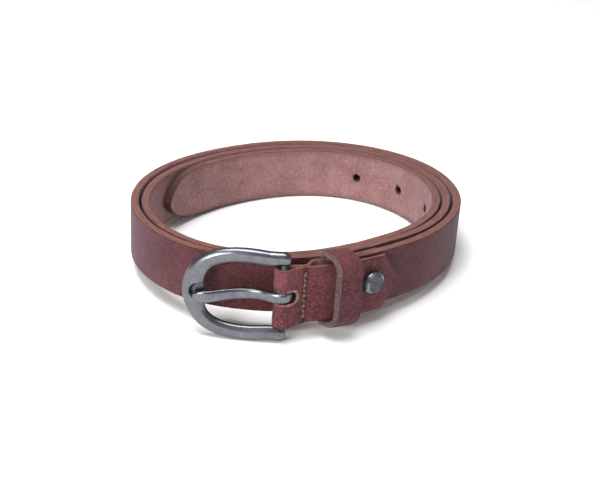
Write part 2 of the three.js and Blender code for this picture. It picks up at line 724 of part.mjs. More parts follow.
const threadMeeting = FIT_GAP / 2;
const frontFace = FIT_GAP + TAB_FRONT;
addPiece(belt, 'strap', makeStrap(), grain);
addPiece(belt, 'buckle_tab', makeTab(), tabGrain);
addPiece(belt, 'needle_thread', makeThread(frontFace, threadMeeting, 1), thread);
addPiece(belt, 'bobbin_thread', makeThread(-TAB_BACK, -threadMeeting, -1), thread);
addPiece(belt, 'rivet_cap', makeRivetCap(), cappedBrass);
addPiece(belt, 'rivet_post', makeRivetPost(), steel);
addPiece(belt, 'keeper', makeKeeper(), keeperGrain);
addPiece(belt, 'keeper_staple', makeStaple(), steel);
addPiece(belt, 'buckle_frame', makeFrame(), pewter);
addPiece(belt, 'buckle_bar', makeBar(), steel);
addPiece(belt, 'prong', makeProng(), pewter);

// The buckle hangs below the strap's edge, so the belt leans until its far side meets the surface too.
const hanging = ['buckle_frame', 'buckle_bar', 'prong'];

function lowestAt(lean, wanted) {
  const turn = new THREE.Matrix4().makeRotationX(-lean);
  const corner = new THREE.Vector3();
  let lowest = Infinity;
  for (const piece of belt.children.filter(wanted)) {
    const position = piece.geometry.attributes.position;
    for (let k = 0; k < position.count; k += 1) {
      lowest = Math.min(lowest, corner.fromBufferAttribute(position, k).applyMatrix4(turn).z);
    }
  }
  return lowest;
}

function restingLean() {
  let least = 0;
  let most = radians(10);
  for (let round = 0; round < 20; round += 1) {
    const lean = (least + most) / 2;
    const buckleLow = lowestAt(lean, (piece) => hanging.includes(piece.name));
    const coilLow = lowestAt(lean, (piece) => piece.name === 'strap');
    if (buckleLow < coilLow) least = lean;
    else most = lean;
  }
  return least;
}

belt.rotation.x = -restingLean();
belt.updateMatrixWorld(true);
const box = new THREE.Box3().setFromObject(belt, true);
belt.position.set(-(box.min.x + box.max.x) / 2, -(box.min.y + box.max.y) / 2, -box.min.z);
const stand = new THREE.Group();
stand.add(belt);

export default stand;
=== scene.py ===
import json
import math
import random

import bmesh
import bpy
import numpy as np
from mathutils import Matrix, Vector, noise


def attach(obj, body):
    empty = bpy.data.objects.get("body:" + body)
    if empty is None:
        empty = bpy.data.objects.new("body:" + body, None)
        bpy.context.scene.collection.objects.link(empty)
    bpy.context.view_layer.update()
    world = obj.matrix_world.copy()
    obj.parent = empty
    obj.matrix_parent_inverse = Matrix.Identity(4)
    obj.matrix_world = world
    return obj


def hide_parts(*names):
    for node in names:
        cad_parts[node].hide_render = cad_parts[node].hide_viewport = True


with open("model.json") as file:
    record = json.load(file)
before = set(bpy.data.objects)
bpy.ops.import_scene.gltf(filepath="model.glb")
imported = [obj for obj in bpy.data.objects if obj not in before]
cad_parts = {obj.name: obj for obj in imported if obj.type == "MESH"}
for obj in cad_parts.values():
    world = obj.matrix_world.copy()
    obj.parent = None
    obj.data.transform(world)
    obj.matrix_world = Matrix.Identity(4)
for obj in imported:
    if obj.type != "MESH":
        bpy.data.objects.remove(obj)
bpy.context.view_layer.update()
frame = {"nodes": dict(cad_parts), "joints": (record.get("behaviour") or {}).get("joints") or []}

MM = 0.001

# ---- Sizes in millimetres: the CAD's, except those under the next heading ----
STRAP_WIDTH = 25
STRAP_THICKNESS = 3.7
TIP_LENGTH = 27
TIP_BLUNT = 1.5
HOLE_RADIUS = 1.7
HOLES_FROM_TIP = [113.5 + 25.4 * k for k in range(5)]
COIL_RADIUS = 73.2
COIL_STRETCH = 6.3
STRETCH_HEADING = 33
COIL_START = -93
STRAP_START = -69
TAIL_END = 893
CREEP = 1.28
LAYER_GAP = 1.1
TIGHT_GAP = 0.35
STEP_LEAD = 0.03
STEP_SPAN = 0.17
INNER_SAG = 1.1
SAG_START = 0.75
FIT_GAP = 0.3
TAB_WIDTH = STRAP_WIDTH + 0.4
TAB_FRONT = 2.0
TAB_FOLD = 1.7
TAB_BACK = 1.6
TAB_MIDDLE = STRAP_WIDTH / 2 - 1
FOLD_DROP = 0.8
TAB_POINT_ANGLE = -51
TAB_POINT_LENGTH = 6.5
TAB_POINT_BLUNT = 2.2
TAB_BACK_END = -56
PINCH_ANGLE = -86.3
STITCH_COUNT = 9
STITCH_PITCH = 2.35
RIVET_ANGLE = -62
RIVET_HEIGHT = 13.4
CAP_HEIGHT = 3.3
CAP_BEVEL = 1.4
KEEPER_ANGLE = -76.4
KEEPER_WIDTH = 10.6
KEEPER_THICKNESS = 2.2
KEEPER_SHEAR = 3.4
KEEPER_EDGE_PLAY = 2.3
KEEPER_RISE = 1.4
BAR_ANGLE = -92.85
BAR_OFFSET = 1.1
BAR_RADIUS = 1.9
BUCKLE_MIDDLE = TAB_MIDDLE - 0.9
FRAME_OPENING = STRAP_WIDTH + 2.6
FRAME_FLARE = 1.9
ARM_WIDTH = 6.5
FRAME_THICKNESS = 4.5
END_WIDTH = 8.9
FRAME_REACH = 41.4
FRAME_BOW = 300
PRONG_WIDTH = 4.3
PRONG_THICKNESS = 2.2
PRONG_END_WIDTH = 5.2
PRONG_TIP_WIDTH = 3.4
PRONG_TIP_THICKNESS = 1.6
PRONG_RISE = 1
PRONG_TILT = 4.8
PRONG_DIP = 1.8
NOTCH_FLOOR = 1.2

# ---- Sizes for the looks only, which differ from the CAD's or aren't in it ----
EYE_PLAY = 0.2
EYE_RADIUS = BAR_RADIUS + EYE_PLAY + PRONG_THICKNESS / 2
SLOT_SIDE_PLAY = 0.3
SLOT_END_PLAY = 1.0
ARM_PAST_BAR = 2.9
LOWER_PAST_BAR = 2.0
ARM_STRAIGHT = 6
ARM_END_ROUND = 3.2
DIP_FLOOR = 0.35
DIP_HALF_WIDTH = 3.5
DIP_LENGTH = 5.4
DIP_SIDE_STEEPNESS = 16
CAP_RADIUS = 5.0
KEEPER_CUT_BACK = 1.1
FOLD_SPREAD = 0.045
BAR_SLACK = 0.25


def ramp(value):
    value = min(max(value, 0), 1)
    return value * value * (3 - 2 * value)


def mix(a, b, share):
    return a + (b - a) * share


def turned(angle):
    return math.cos(math.radians(angle)), math.sin(math.radians(angle))


# ---- The coil's plan ----
LAYER_PITCH = STRAP_THICKNESS + LAYER_GAP
PRESS_FIRST = max(0, FIT_GAP + TAB_BACK + 0.15 + FIT_GAP - LAYER_GAP)
PRESS_SECOND = max(0, PRESS_FIRST - (LAYER_GAP - TIGHT_GAP))


def pressed_window(share):
    return ramp((share + 0.09) / 0.07) * (1 - ramp((share - 0.11) / 0.1))


def face_radius(angle):
    turns = (angle - COIL_START) / 360
    steps = -1
    for turn in range(3):
        steps += ramp((turns - turn + STEP_LEAD) / STEP_SPAN)
    stretch = COIL_STRETCH * turned(2 * (angle - STRETCH_HEADING))[0]
    pressed = PRESS_FIRST * pressed_window(turns - 1) + PRESS_SECOND * pressed_window(turns - 2)
    return COIL_RADIUS + stretch - CREEP * turns - (LAYER_PITCH - CREEP) * steps - pressed


def face_point(angle):
    return Vector(turned(angle)) * face_radius(angle)


def along_at(angle):
    return (face_point(angle + 0.05) - face_point(angle - 0.05)).normalized()


def outward_at(angle):
    along = along_at(angle)
    return Vector((along.y, -along.x))


def track(angle, offset):
    """A point beside the strap's outer face, seen from above; positive offsets are outside."""
    return face_point(angle) + outward_at(angle) * offset


BAR_PLAN = track(BAR_ANGLE, BAR_OFFSET)

# The CAD lays the coil's frame over by a few degrees, which the buckle's hinge shows.
swing = next(joint for joint in frame["joints"] if joint["name"] == "buckle_swing")
hinge_axis = Vector(swing["axis"])
LEAN = Matrix.Rotation(-math.atan2(hinge_axis.y, hinge_axis.z), 3, "X")
BAR_LOCAL = Vector((BAR_PLAN.x, BAR_PLAN.y, BUCKLE_MIDDLE))
SHIFT = Vector(swing["pos_m"]) - LEAN @ (BAR_LOCAL * MM)


def place(x, y, z):
    """From the coil's own millimetres to the row frame in metres."""
    return LEAN @ (Vector((x, y, z)) * MM) + SHIFT


def on_buckle(reach, rise, out):
    return place(BAR_PLAN.x - reach, BAR_PLAN.y - out, BUCKLE_MIDDLE + rise)


def centripetal(points, samples=14):
    """The smooth line through plan points, as a dense row of points."""
    row = [Vector(p) for p in points]
    row = [row[0] * 2 - row[1], *row, row[-1] * 2 - row[-2]]
    dense = []
    for k in range(1, len(row) - 2):
        p0, p1, p2, p3 = row[k - 1 : k + 3]
        d0 = math.sqrt((p1 - p0).length)
        d1 = math.sqrt((p2 - p1).length)
        d2 = math.sqrt((p3 - p2).length)
        t1 = ((p1 - p0) / d0 - (p2 - p0) / (d0 + d1) + (p2 - p1) / d1) * d1
        t2 = ((p2 - p1) / d1 - (p3 - p1) / (d1 + d2) + (p3 - p2) / d2) * d1
        for step in range(samples):
            t = step / samples
            a = p1 * (2 * t**3 - 3 * t**2 + 1) + t1 * (t**3 - 2 * t**2 + t)
            b = p2 * (-2 * t**3 + 3 * t**2) + t2 * (t**3 - t**2)
            dense.append(a + b)
    dense.append(row[-2].copy())
    return dense


class Line:
    """A polyline walked by its length."""

    def __init__(self, points):
        self.points = np.array([list(p) for p in points], float)
        steps = np.linalg.norm(np.diff(self.points, axis=0), axis=1)
        self.reached = np.concatenate([[0], np.cumsum(steps)])
        self.length = self.reached[-1]

    def at(self, length):
        return Vector([np.interp(length, self.reached, column) for column in self.points.T])

    def heading(self, length, reach=0.25):
        return (self.at(length + reach) - self.at(length - reach)).normalized()


# ---- Mesh helpers ----
def skin(name, rings, fields):
    """Skins rings of row-frame points. fields maps an attribute to one value per point."""
    count = len(rings[0])
    vertices = [p for ring in rings for p in ring]
    faces = []
    for ring in range(len(rings) - 1):
        here = ring * count
        there = here + count
        for k in range(count):
            nxt = (k + 1) % count
            faces.append((here + k, here + nxt, there + nxt, there + k))
    faces.append(tuple(reversed(range(count))))
    faces.append(tuple(range((len(rings) - 1) * count, len(rings) * count)))
    mesh = bpy.data.meshes.new(name)
    mesh.from_pydata(vertices, [], faces)
    for field, values in fields.items():
        vector = isinstance(values[0], (tuple, list, Vector))
        kind = "FLOAT_VECTOR" if vector else "FLOAT"
        layer = mesh.attributes.new(field, kind, "POINT")
        flat = [part for value in values for part in value] if vector else list(values)
        layer.data.foreach_set("vector" if vector else "value", flat)
    mesh.shade_smooth()
    mesh.update()
    piece = bpy.data.objects.new(name, mesh)
    bpy.context.scene.collection.objects.link(piece)
    return face_out(piece)


def face_out(piece):
    """Turns every face outwards, whichever way the rings ran."""
    body = bmesh.new()
    body.from_mesh(piece.data)
    if body.calc_volume(signed=True) < 0:
        bmesh.ops.reverse_faces(body, faces=body.faces[:])
        body.to_mesh(piece.data)
    body.free()
    return piece


def cut_away(piece, cutter):
    """Cuts one mesh out of another for good and removes the cutter."""
    modifier = piece.modifiers.new("cut", "BOOLEAN")
    modifier.operation = "DIFFERENCE"
    modifier.solver = "EXACT"
    modifier.object = cutter
    bpy.context.view_layer.update()
    depsgraph = bpy.context.evaluated_depsgraph_get()
    mesh = bpy.data.meshes.new_from_object(piece.evaluated_get(depsgraph))
    piece.modifiers.clear()
    old = piece.data
    mesh.name = old.name
    piece.data = mesh
    bpy.data.meshes.remove(old)
    bpy.data.objects.remove(cutter)
    return piece


def rough(x, y, z, size):
    return noise.noise(Vector((x, y, z)) / size)


def strip_section(thickness, half, corner, across=16):
    """Points round a leather strip: (depth, height, cut, flesh). Depth 0 is the grain side."""
    points = []
    arc = 5
    edge = 4
    outer = half - corner
    back = corner - thickness
    for k in range(across + 1):
        points.append((0, mix(outer, -outer, k / across), 0, 0))
    # Round the lower corner, along the lower cut edge and round to the flesh side.
    for k in range(1, arc):
        c, s = turned(-90 * k / arc)
        points.append((corner * c - corner, corner * s - outer, ramp(k / arc), 0))
    for k in range(edge + 1):
        points.append((mix(-corner, back, k / edge), -half, 1, 0))
    for k in range(1, arc):
        c, s = turned(-90 - 90 * k / arc)
        share = ramp(k / arc)
        points.append((back + corner * c, corner * s - outer, 1 - share, share))
    # Up the flesh side and back over the upper edge.
    for k in range(across + 1):
        points.append((-thickness, mix(-outer, outer, k / across), 0, 1))
    for k in range(1, arc):
        c, s = turned(180 - 90 * k / arc)
        share = ramp(k / arc)
        points.append((back + corner * c, outer + corner * s, share, 1 - share))
    for k in range(edge + 1):
        points.append((mix(back, -corner, k / edge), half, 1, 0))
    for k in range(1, arc):
        c, s = turned(90 - 90 * k / arc)
        points.append((corner * c - corner, outer + corner * s, 1 - ramp(k / arc), 0))
    return points


def cylinder(centre, direction, radius, length, sides=28):
    way = direction.normalized()
    turn = way.to_track_quat("Z", "Y").to_matrix()
    rings = []
    for end in (-0.5, 0.5):
        ring = []
        for k in range(sides):
            c, s = turned(360 * k / sides)
            ring.append(centre + turn @ Vector((radius * c, radius * s, end * length)))
        rings.append(ring)
    return skin("cutter", rings, {})


# ---- Strap ----
def strap_height(angle):
    turns = (angle - COIL_START) / 360
    sag = INNER_SAG * max(0, turns - SAG_START) / (1 + 0.5 * turns)
    return STRAP_WIDTH / 2 - sag


def strap_walk():
    angles = np.arange(STRAP_START, TAIL_END + 0.01, 0.2)
    points = [track(a, -STRAP_THICKNESS / 2) for a in angles]
    return angles, Line(points)


def tip_half(from_tip):
    share = min(1, from_tip / TIP_LENGTH)
    half = (STRAP_WIDTH / 2) * (1 - (1 - share) ** 2.1) ** 0.62
    return max(TIP_BLUNT, half)


def make_strap():
    angles, line = strap_walk()
    length = line.length
    stops = list(np.arange(0, length - TIP_LENGTH, 1.5))
    stops += [length - TIP_LENGTH * (1 - k / 26) ** 1.5 for k in range(27)]
    rings = []
    spots = []
    cut = []
    flesh = []
    painted_shade = []
    for stop in stops:
        angle = float(np.interp(stop, line.reached, angles))
        middle = strap_height(angle)
        plan = face_point(angle)
        outward = outward_at(angle)
        half = tip_half(length - stop)
        half += 0.10 * rough(stop, 0, 0, 23) + 0.05 * rough(stop, 5, 0, 5)
        sway = 0.12 * rough(stop, 0, 9, 40)
        corner = min(0.55, half * 0.4)
        ring = []
        for depth, height, cut_here, flesh_here in strip_section(STRAP_THICKNESS, half, corner):
            for hole in HOLES_FROM_TIP:
                away = math.hypot(stop - (length - hole), height)
                if away < 5 and flesh_here > 0.5:
                    depth += 0.28 * math.exp(-((away - HOLE_RADIUS) ** 2) / 1.2)
            if cut_here > 0.5:
                height += 0.05 * rough(stop, depth, height, 0.8) * (1 if height > 0 else -1)
            if flesh_here > 0.5:
                depth += 0.06 * rough(stop, height, 3, 1.6)
            bend = plan + outward * depth
            ring.append(place(bend.x, bend.y, middle + height + sway))
            spots.append((stop, height, depth))
            cut.append(cut_here)
            flesh.append(flesh_here)
            # Painted shade: the cut edge darkens towards the tip, standing in for the shadow on the
            # pressed end.
            painted_shade.append(0.85 * cut_here * ramp(1.3 - (length - stop) / TIP_LENGTH))
        rings.append(ring)
    strap = skin("strap_leather", rings, {"spot": spots, "cut": cut, "flesh": flesh, "painted_shade": painted_shade})
    for hole in HOLES_FROM_TIP:
        angle = float(np.interp(length - hole, line.reached, angles))
        plan = track(angle, -STRAP_THICKNESS / 2)
        outward = outward_at(angle)
        way = LEAN @ Vector((outward.x, outward.y, 0))
        centre = place(plan.x, plan.y, strap_height(angle))
        cut_away(strap, cylinder(centre, way, HOLE_RADIUS * MM, 9 * MM))
    return strap


# ---- Buckle tab ----
FOLD_RADIUS = BAR_RADIUS + FIT_GAP + TAB_FOLD / 2


def tab_line():
    front = FIT_GAP + TAB_FRONT / 2
    stitched = -TAB_BACK / 2
    back = -(STRAP_THICKNESS + FIT_GAP + TAB_BACK / 2)
    points = [track(mix(TAB_POINT_ANGLE, PINCH_ANGLE + 3, k / 7), front) for k in range(8)]
    points.append(track(PINCH_ANGLE, front))
    points.append(track(PINCH_ANGLE - 2.6, front + 0.7))
    along = along_at(BAR_ANGLE)
    outward = outward_at(BAR_ANGLE)
    for turn in range(55, 306, 25):
        c, s = turned(turn)
        points.append(BAR_PLAN + along * FOLD_RADIUS * c + outward * FOLD_RADIUS * s)
    points.append(track(PINCH_ANGLE - 2.4, stitched - 0.45))
    points.append(track(PINCH_ANGLE - 0.4, stitched))
    for ahead, share in ((1.2, 0.1), (2.8, 0.62), (4.4, 0.97)):
        points.append(track(PINCH_ANGLE + ahead, mix(stitched, back, share)))
    points += [track(mix(PINCH_ANGLE + 7, TAB_BACK_END, k / 5), back) for k in range(6)]
    return Line(centripetal(points))


def tab_thickness(share):
    if share < 0.545:
        return mix(TAB_FRONT, TAB_FOLD, ramp((share / 0.545 - 0.6) / 0.3))
    return mix(TAB_FOLD, TAB_BACK, ramp((share - 0.545) / 0.1))


def fold_drop(point):
    from_bar = (point - BAR_PLAN).length
    return FOLD_DROP * (1 - ramp((from_bar - FOLD_RADIUS) / 9))


def make_tab():
    line = tab_line()
    length = line.length
    stops = [TAB_POINT_LENGTH * (k / 14) for k in range(14)]
    stops += list(np.arange(TAB_POINT_LENGTH, length, 0.55)) + [length]
    rings = []
    spots = []
    cut = []
    flesh = []
    painted_shade = []
    pinch = track(PINCH_ANGLE, FIT_GAP + TAB_FRONT / 2)
    for stop in stops:
        point = line.at(stop)
        heading = line.heading(stop)
        side = Vector((-heading.y, heading.x))
        thickness = tab_thickness(stop / length)
        from_point = min(1, stop / TAB_POINT_LENGTH)
        half = mix(TAB_POINT_BLUNT, TAB_WIDTH / 2, from_point)
        half += 0.12 * rough(stop, 1, 4, 9)
        end = min(stop, length - stop)
        corner = min(0.5, 0.12 + end * 0.4, thickness * 0.3)
        to_pinch = (point - pinch).length
        ring = []
        for depth, height, cut_here, flesh_here in strip_section(thickness, half, corner):
            deep = depth + thickness / 2
            if flesh_here < 0.5 and cut_here < 0.9:
                stitch = (height / STITCH_PITCH) % 1
                dimple = 0.42 + 0.2 * math.cos(2 * math.pi * (stitch - 0.5))
                if abs(height) < STITCH_COUNT * STITCH_PITCH / 2 + 0.6:
                    deep -= dimple * math.exp(-(to_pinch**2) / 0.5)
                deep += 0.05 * rough(stop, height, 2, 2.6)
            if cut_here > 0.5:
                height += 0.07 * rough(stop, depth, height, 0.7)
            bend = point + side * deep
            spread = 1 + FOLD_SPREAD * fold_drop(point) / FOLD_DROP
            ring.append(place(bend.x, bend.y, TAB_MIDDLE - fold_drop(point) + height * spread))
            spots.append((stop + 2000, height, depth))
            cut.append(max(cut_here, 1 if end < 0.01 else 0))
            flesh.append(flesh_here)
            # Painted shade: the grain side darkens towards the stitch line, standing in for the shade
            # in its crease.
            painted_shade.append(0 if flesh_here > 0.5 else math.exp(-(to_pinch**2) / 1.1))
        rings.append(ring)
    tab = skin("tab_leather", rings, {"spot": spots, "cut": cut, "flesh": flesh, "painted_shade": painted_shade})
    return cut_away(tab, slot_cutter())


SLOT_WIDTH = PRONG_WIDTH + 2 * SLOT_SIDE_PLAY
SLOT_REACH = EYE_RADIUS + PRONG_THICKNESS / 2 + SLOT_END_PLAY


def slot_outline(grow, steps=14):
    """(along, rise) points round the slot's closed end, from its lower side to its upper."""
    half = SLOT_WIDTH / 2 + grow
    centre = SLOT_REACH - SLOT_WIDTH / 2
    points = [(mix(-9, centre, k / 8), -half) for k in range(8)]
    for k in range(steps + 1):
        c, s = turned(mix(-90, 90, k / steps))
        points.append((centre + half * c**0.6, half * math.copysign(abs(s) ** 0.8, s)))
    points += [(mix(centre, -9, k / 8), half) for k in range(1, 9)]
    return points


def slot_cutter():
    along = along_at(BAR_ANGLE)
    outward = outward_at(BAR_ANGLE)
    rings = []
    for depth in (-14, 14):
        ring = []
        for ahead, rise in slot_outline(0):
            plan = BAR_PLAN + along * ahead + outward * depth
            ring.append(place(plan.x, plan.y, BUCKLE_MIDDLE + PRONG_RISE + rise))
        rings.append(ring)
    return skin("cutter", rings, {})


# ---- Fibres, where leather was cut and left raw ----
def fibres(name, roots, seed, length, radius):
    """Short hairs: roots are (point, way) in row-frame metres and directions."""
    dice = random.Random(seed)
    vertices = []
    faces = []
    for root, way in roots:
        reach = length * dice.uniform(0.45, 1.25)
        lean = Vector((dice.gauss(0, 1), dice.gauss(0, 1), dice.gauss(0, 1)))
        first = (way.normalized() + lean * 0.45).normalized()
        curl = Vector((dice.gauss(0, 1), dice.gauss(0, 1), dice.gauss(0, 1))) * 0.5
        side = first.orthogonal().normalized()
        other = first.cross(side)
        start = len(vertices)
        rings = 4
        for ring in range(rings):
            share = ring / rings
            middle = root + first * reach * share + curl * reach * share * share * 0.6
            thick = radius * (1 - 0.7 * share)
            for k in range(3):
                c, s = turned(120 * k)
                vertices.append(middle + side * thick * c + other * thick * s)
        vertices.append(root + first * reach + curl * reach * 0.6)
        faces.append((start, start + 2, start + 1))
        for ring in range(rings - 1):
            for k in range(3):
                a = start + ring * 3 + k
                b = start + ring * 3 + (k + 1) % 3
                faces.append((a, b, b + 3, a + 3))
        top = start + (rings - 1) * 3
        tip = len(vertices) - 1
        faces += [(top, top + 1, tip), (top + 1, top + 2, tip), (top + 2, top, tip)]
    mesh = bpy.data.meshes.new(name)
    mesh.from_pydata(vertices, [], faces)
    mesh.shade_smooth()
    piece = bpy.data.objects.new(name, mesh)
    bpy.context.scene.collection.objects.link(piece)
    return piece


def fold_face(ahead):
    """How far out of the bar's plane the fold's outer face lies, this far along the strap."""
    radius = FOLD_RADIUS + TAB_FOLD / 2
    if ahead <= 0:
        return math.sqrt(max(0.01, radius**2 - ahead**2))
    return mix(radius, 1.35, ramp(ahead / 7.5))


def make_slot_fray():
    dice = random.Random(11)
    along = along_at(BAR_ANGLE)
    outward = outward_at(BAR_ANGLE)
    line = Line([p for p in slot_outline(0.1) if p[0] > -3.4])
    centre = SLOT_REACH - SLOT_WIDTH / 2
    roots = []
    for _ in range(1500):
        ahead, rise = line.at(dice.uniform(0, line.length))
        if ahead < 1.5 and dice.random() > 0.3:
            continue
        away = Vector((ahead - min(ahead, centre), rise)).normalized()
        band = 0.08 + abs(dice.gauss(0, 0.36))
        ahead += away.x * band
        rise += away.y * band
        out = fold_face(ahead) - dice.uniform(0.0, 0.35) + 0.05
        plan = BAR_PLAN + along * ahead + outward * out
        way = along * away.x * 0.7 + outward * dice.uniform(0.1, 0.4)
        aim = LEAN @ Vector((way.x, way.y, away.y * 0.7))
        roots.append((place(plan.x, plan.y, BUCKLE_MIDDLE + PRONG_RISE + rise), aim))
    return fibres("slot_fray", roots, 5, 0.55 * MM, 0.05 * MM)


# ---- Stitches ----
def make_stitches():
    """Each stitch is a short twisted thread that dips into its two holes."""
    outward = outward_at(PINCH_ANGLE)
    along = along_at(PINCH_ANGLE)
    plan = track(PINCH_ANGLE, 0)
    pieces = []
    first = TAB_MIDDLE - STITCH_COUNT * STITCH_PITCH / 2
    for stitch in range(STITCH_COUNT):
        rings = []
        spots = []
        steps = 22
        lean = 0.3 * (-1) ** stitch
        for step in range(steps + 1):
            share = step / steps
            height = first + STITCH_PITCH * (stitch + mix(0.04, 0.96, share))
            crest = math.sin(math.pi * share) ** 0.6
            out = FIT_GAP + TAB_FRONT - 0.75 + 0.7 * crest
            sideways = lean * (share - 0.5) * 2 + 0.08 * rough(height, 0, 0, 1.1)
            ring = []
            for k in range(12):
                around = 360 * k / 12
                c, s = turned(around)
                strand = 0.6 * (1 + 0.13 * turned(2 * around + 520 * share)[0])
                strand *= 0.55 + 0.45 * math.sin(math.pi * min(max(share, 0.08), 0.92)) ** 0.4
                spot = plan + outward * (out + strand * c) + along * (sideways + strand * s)
                ring.append(place(spot.x, spot.y, height))
                spots.append((height, around / 60, share))
            rings.append(ring)
        pieces.append(skin(f"stitch_{stitch + 1}", rings, {"spot": spots}))
    return pieces


# ---- Keeper ----
def keeper_outline():
    back = FIT_GAP - 0.6
    front = FIT_GAP + TAB_FRONT + STRAP_THICKNESS + 0.8
    half = TAB_WIDTH / 2 + KEEPER_EDGE_PLAY
    back_radius = 0.3
    front_radius = 7.5 - KEEPER_THICKNESS
    points = [(back, mix(0.2, half - back_radius, k / 12)) for k in range(12)]

    def arc(centre_x, centre_y, radius, start, end, steps):
        for k in range(steps + 1):
            c, s = turned(mix(start, end, k / steps))
            points.append((centre_x + radius * c, centre_y + radius * s))

    arc(back + back_radius, half - back_radius, back_radius, 180, 90, 4)
    arc(front - front_radius, half - front_radius, front_radius, 90, 0, 14)
    for k in range(1, 14):
        points.append((front, mix(half - front_radius, front_radius - half, k / 14)))
    arc(front - front_radius, front_radius - half, front_radius, 0, -90, 14)
    arc(back + back_radius, back_radius - half, back_radius, -90, -180, 4)
    points += [(back, mix(back_radius - half, -0.2, k / 12)) for k in range(1, 13)]
    return Line(points)


def on_keeper(offset, ahead, rise):
    back = FIT_GAP - 0.6
    depth = FIT_GAP + TAB_FRONT + STRAP_THICKNESS + 0.8 - back
    lean = KEEPER_SHEAR * (offset - back) / depth
    plan = track(KEEPER_ANGLE, offset) + along_at(KEEPER_ANGLE) * (ahead + lean)
    return place(plan.x, plan.y, TAB_MIDDLE + KEEPER_RISE + rise)


def make_keeper():
    line = keeper_outline()
    rings = []
    spots = []
    cut = []
    flesh = []
    for stop in np.linspace(0, line.length, 190):
        stop = float(stop)
        here = line.at(stop)
        heading = line.heading(stop, 0.4)
        normal = Vector((-heading.y, heading.x))
        half = KEEPER_WIDTH / 2 + 0.12 * rough(stop, 8, 2, 8)
        ring = []
        for depth, height, cut_here, flesh_here in strip_section(KEEPER_THICKNESS, half, 0.5, 12):
            deep = depth + KEEPER_THICKNESS
            if height < 0:
                height += KEEPER_CUT_BACK * (deep / KEEPER_THICKNESS) * ramp(-height / half * 3 - 1.8)
            if cut_here > 0.5:
                height += 0.12 * rough(stop, depth, height, 0.7)
            if cut_here < 0.5 and flesh_here < 0.5:
                deep += 0.08 * rough(stop, height, 6, 2.4) + 0.16 * (1 - (height / half) ** 2)
            spot = here + normal * deep
            ring.append(on_keeper(spot.x, height, spot.y))
            spots.append((stop + 4000, height, depth))
            cut.append(cut_here)
            flesh.append(flesh_here)
        rings.append(ring)
    return skin("keeper_leather", rings, {"spot": spots, "cut": cut, "flesh": flesh})


def make_keeper_fray():
    dice = random.Random(23)
    line = keeper_outline()
    roots = []
    for _ in range(1100):
        stop = dice.uniform(14, line.length - 14)
        here = line.at(stop)
        heading = line.heading(stop, 0.4)
        normal = Vector((-heading.y, heading.x))
        deep = dice.uniform(0.1, KEEPER_THICKNESS - 0.1)
        end = -1 if dice.random() < 0.7 else 1
        spot = here + normal * deep
        root = on_keeper(spot.x, end * (KEEPER_WIDTH / 2 - 0.1), spot.y)
        tip = on_keeper(spot.x + normal.x * 0.3, end * (KEEPER_WIDTH / 2 + 1), spot.y + normal.y * 0.3)
        roots.append((root, tip - root))
    return fibres("keeper_fray", roots, 7, 0.4 * MM, 0.055 * MM)


# ---- Buckle ----
ARM_RISE = FRAME_OPENING / 2 + ARM_WIDTH / 2
END_REACH = FRAME_REACH - END_WIDTH / 2


def bow_at(reach):
    return -(reach * reach) / (2 * FRAME_BOW)


def bezier(a, b, c, d, steps=40):
    row = []
    for k in range(steps):
        t = k / steps
        u = 1 - t
        row.append(a * u**3 + b * 3 * u * u * t + c * 3 * u * t * t + d * t**3)
    return row


def frame_line():
    start = Vector((-ARM_PAST_BAR, ARM_RISE))
    lower_start = Vector((-LOWER_PAST_BAR, -ARM_RISE))
    bend = Vector((ARM_STRAIGHT, ARM_RISE))
    shoulder = Vector((END_REACH * 0.8, ARM_RISE + 1.6 * FRAME_FLARE))
    turn = Vector((END_REACH, ARM_RISE * 0.72))
    end = Vector((END_REACH, 0))

    def below(p):
        return Vector((p.x, -p.y))

    row = [start.lerp(bend, k / 12) for k in range(12)]
    row += bezier(bend, shoulder, turn, end)
    row += bezier(end, below(turn), below(shoulder), below(bend))
    row += [below(bend).lerp(lower_start, k / 12) for k in range(13)]
    return Line(row)


def notch_limit(reach, rise):
    """The highest the metal may stand here, because of the dip for the prong's tip."""
    inner = FRAME_REACH - END_WIDTH
    across = (rise - 0.3) / DIP_HALF_WIDTH
    ahead = max(0, reach - inner) / DIP_LENGTH
    away = math.hypot(across, ahead)
    return bow_at(reach) + DIP_FLOOR + max(0, away - 1) * DIP_SIDE_STEEPNESS


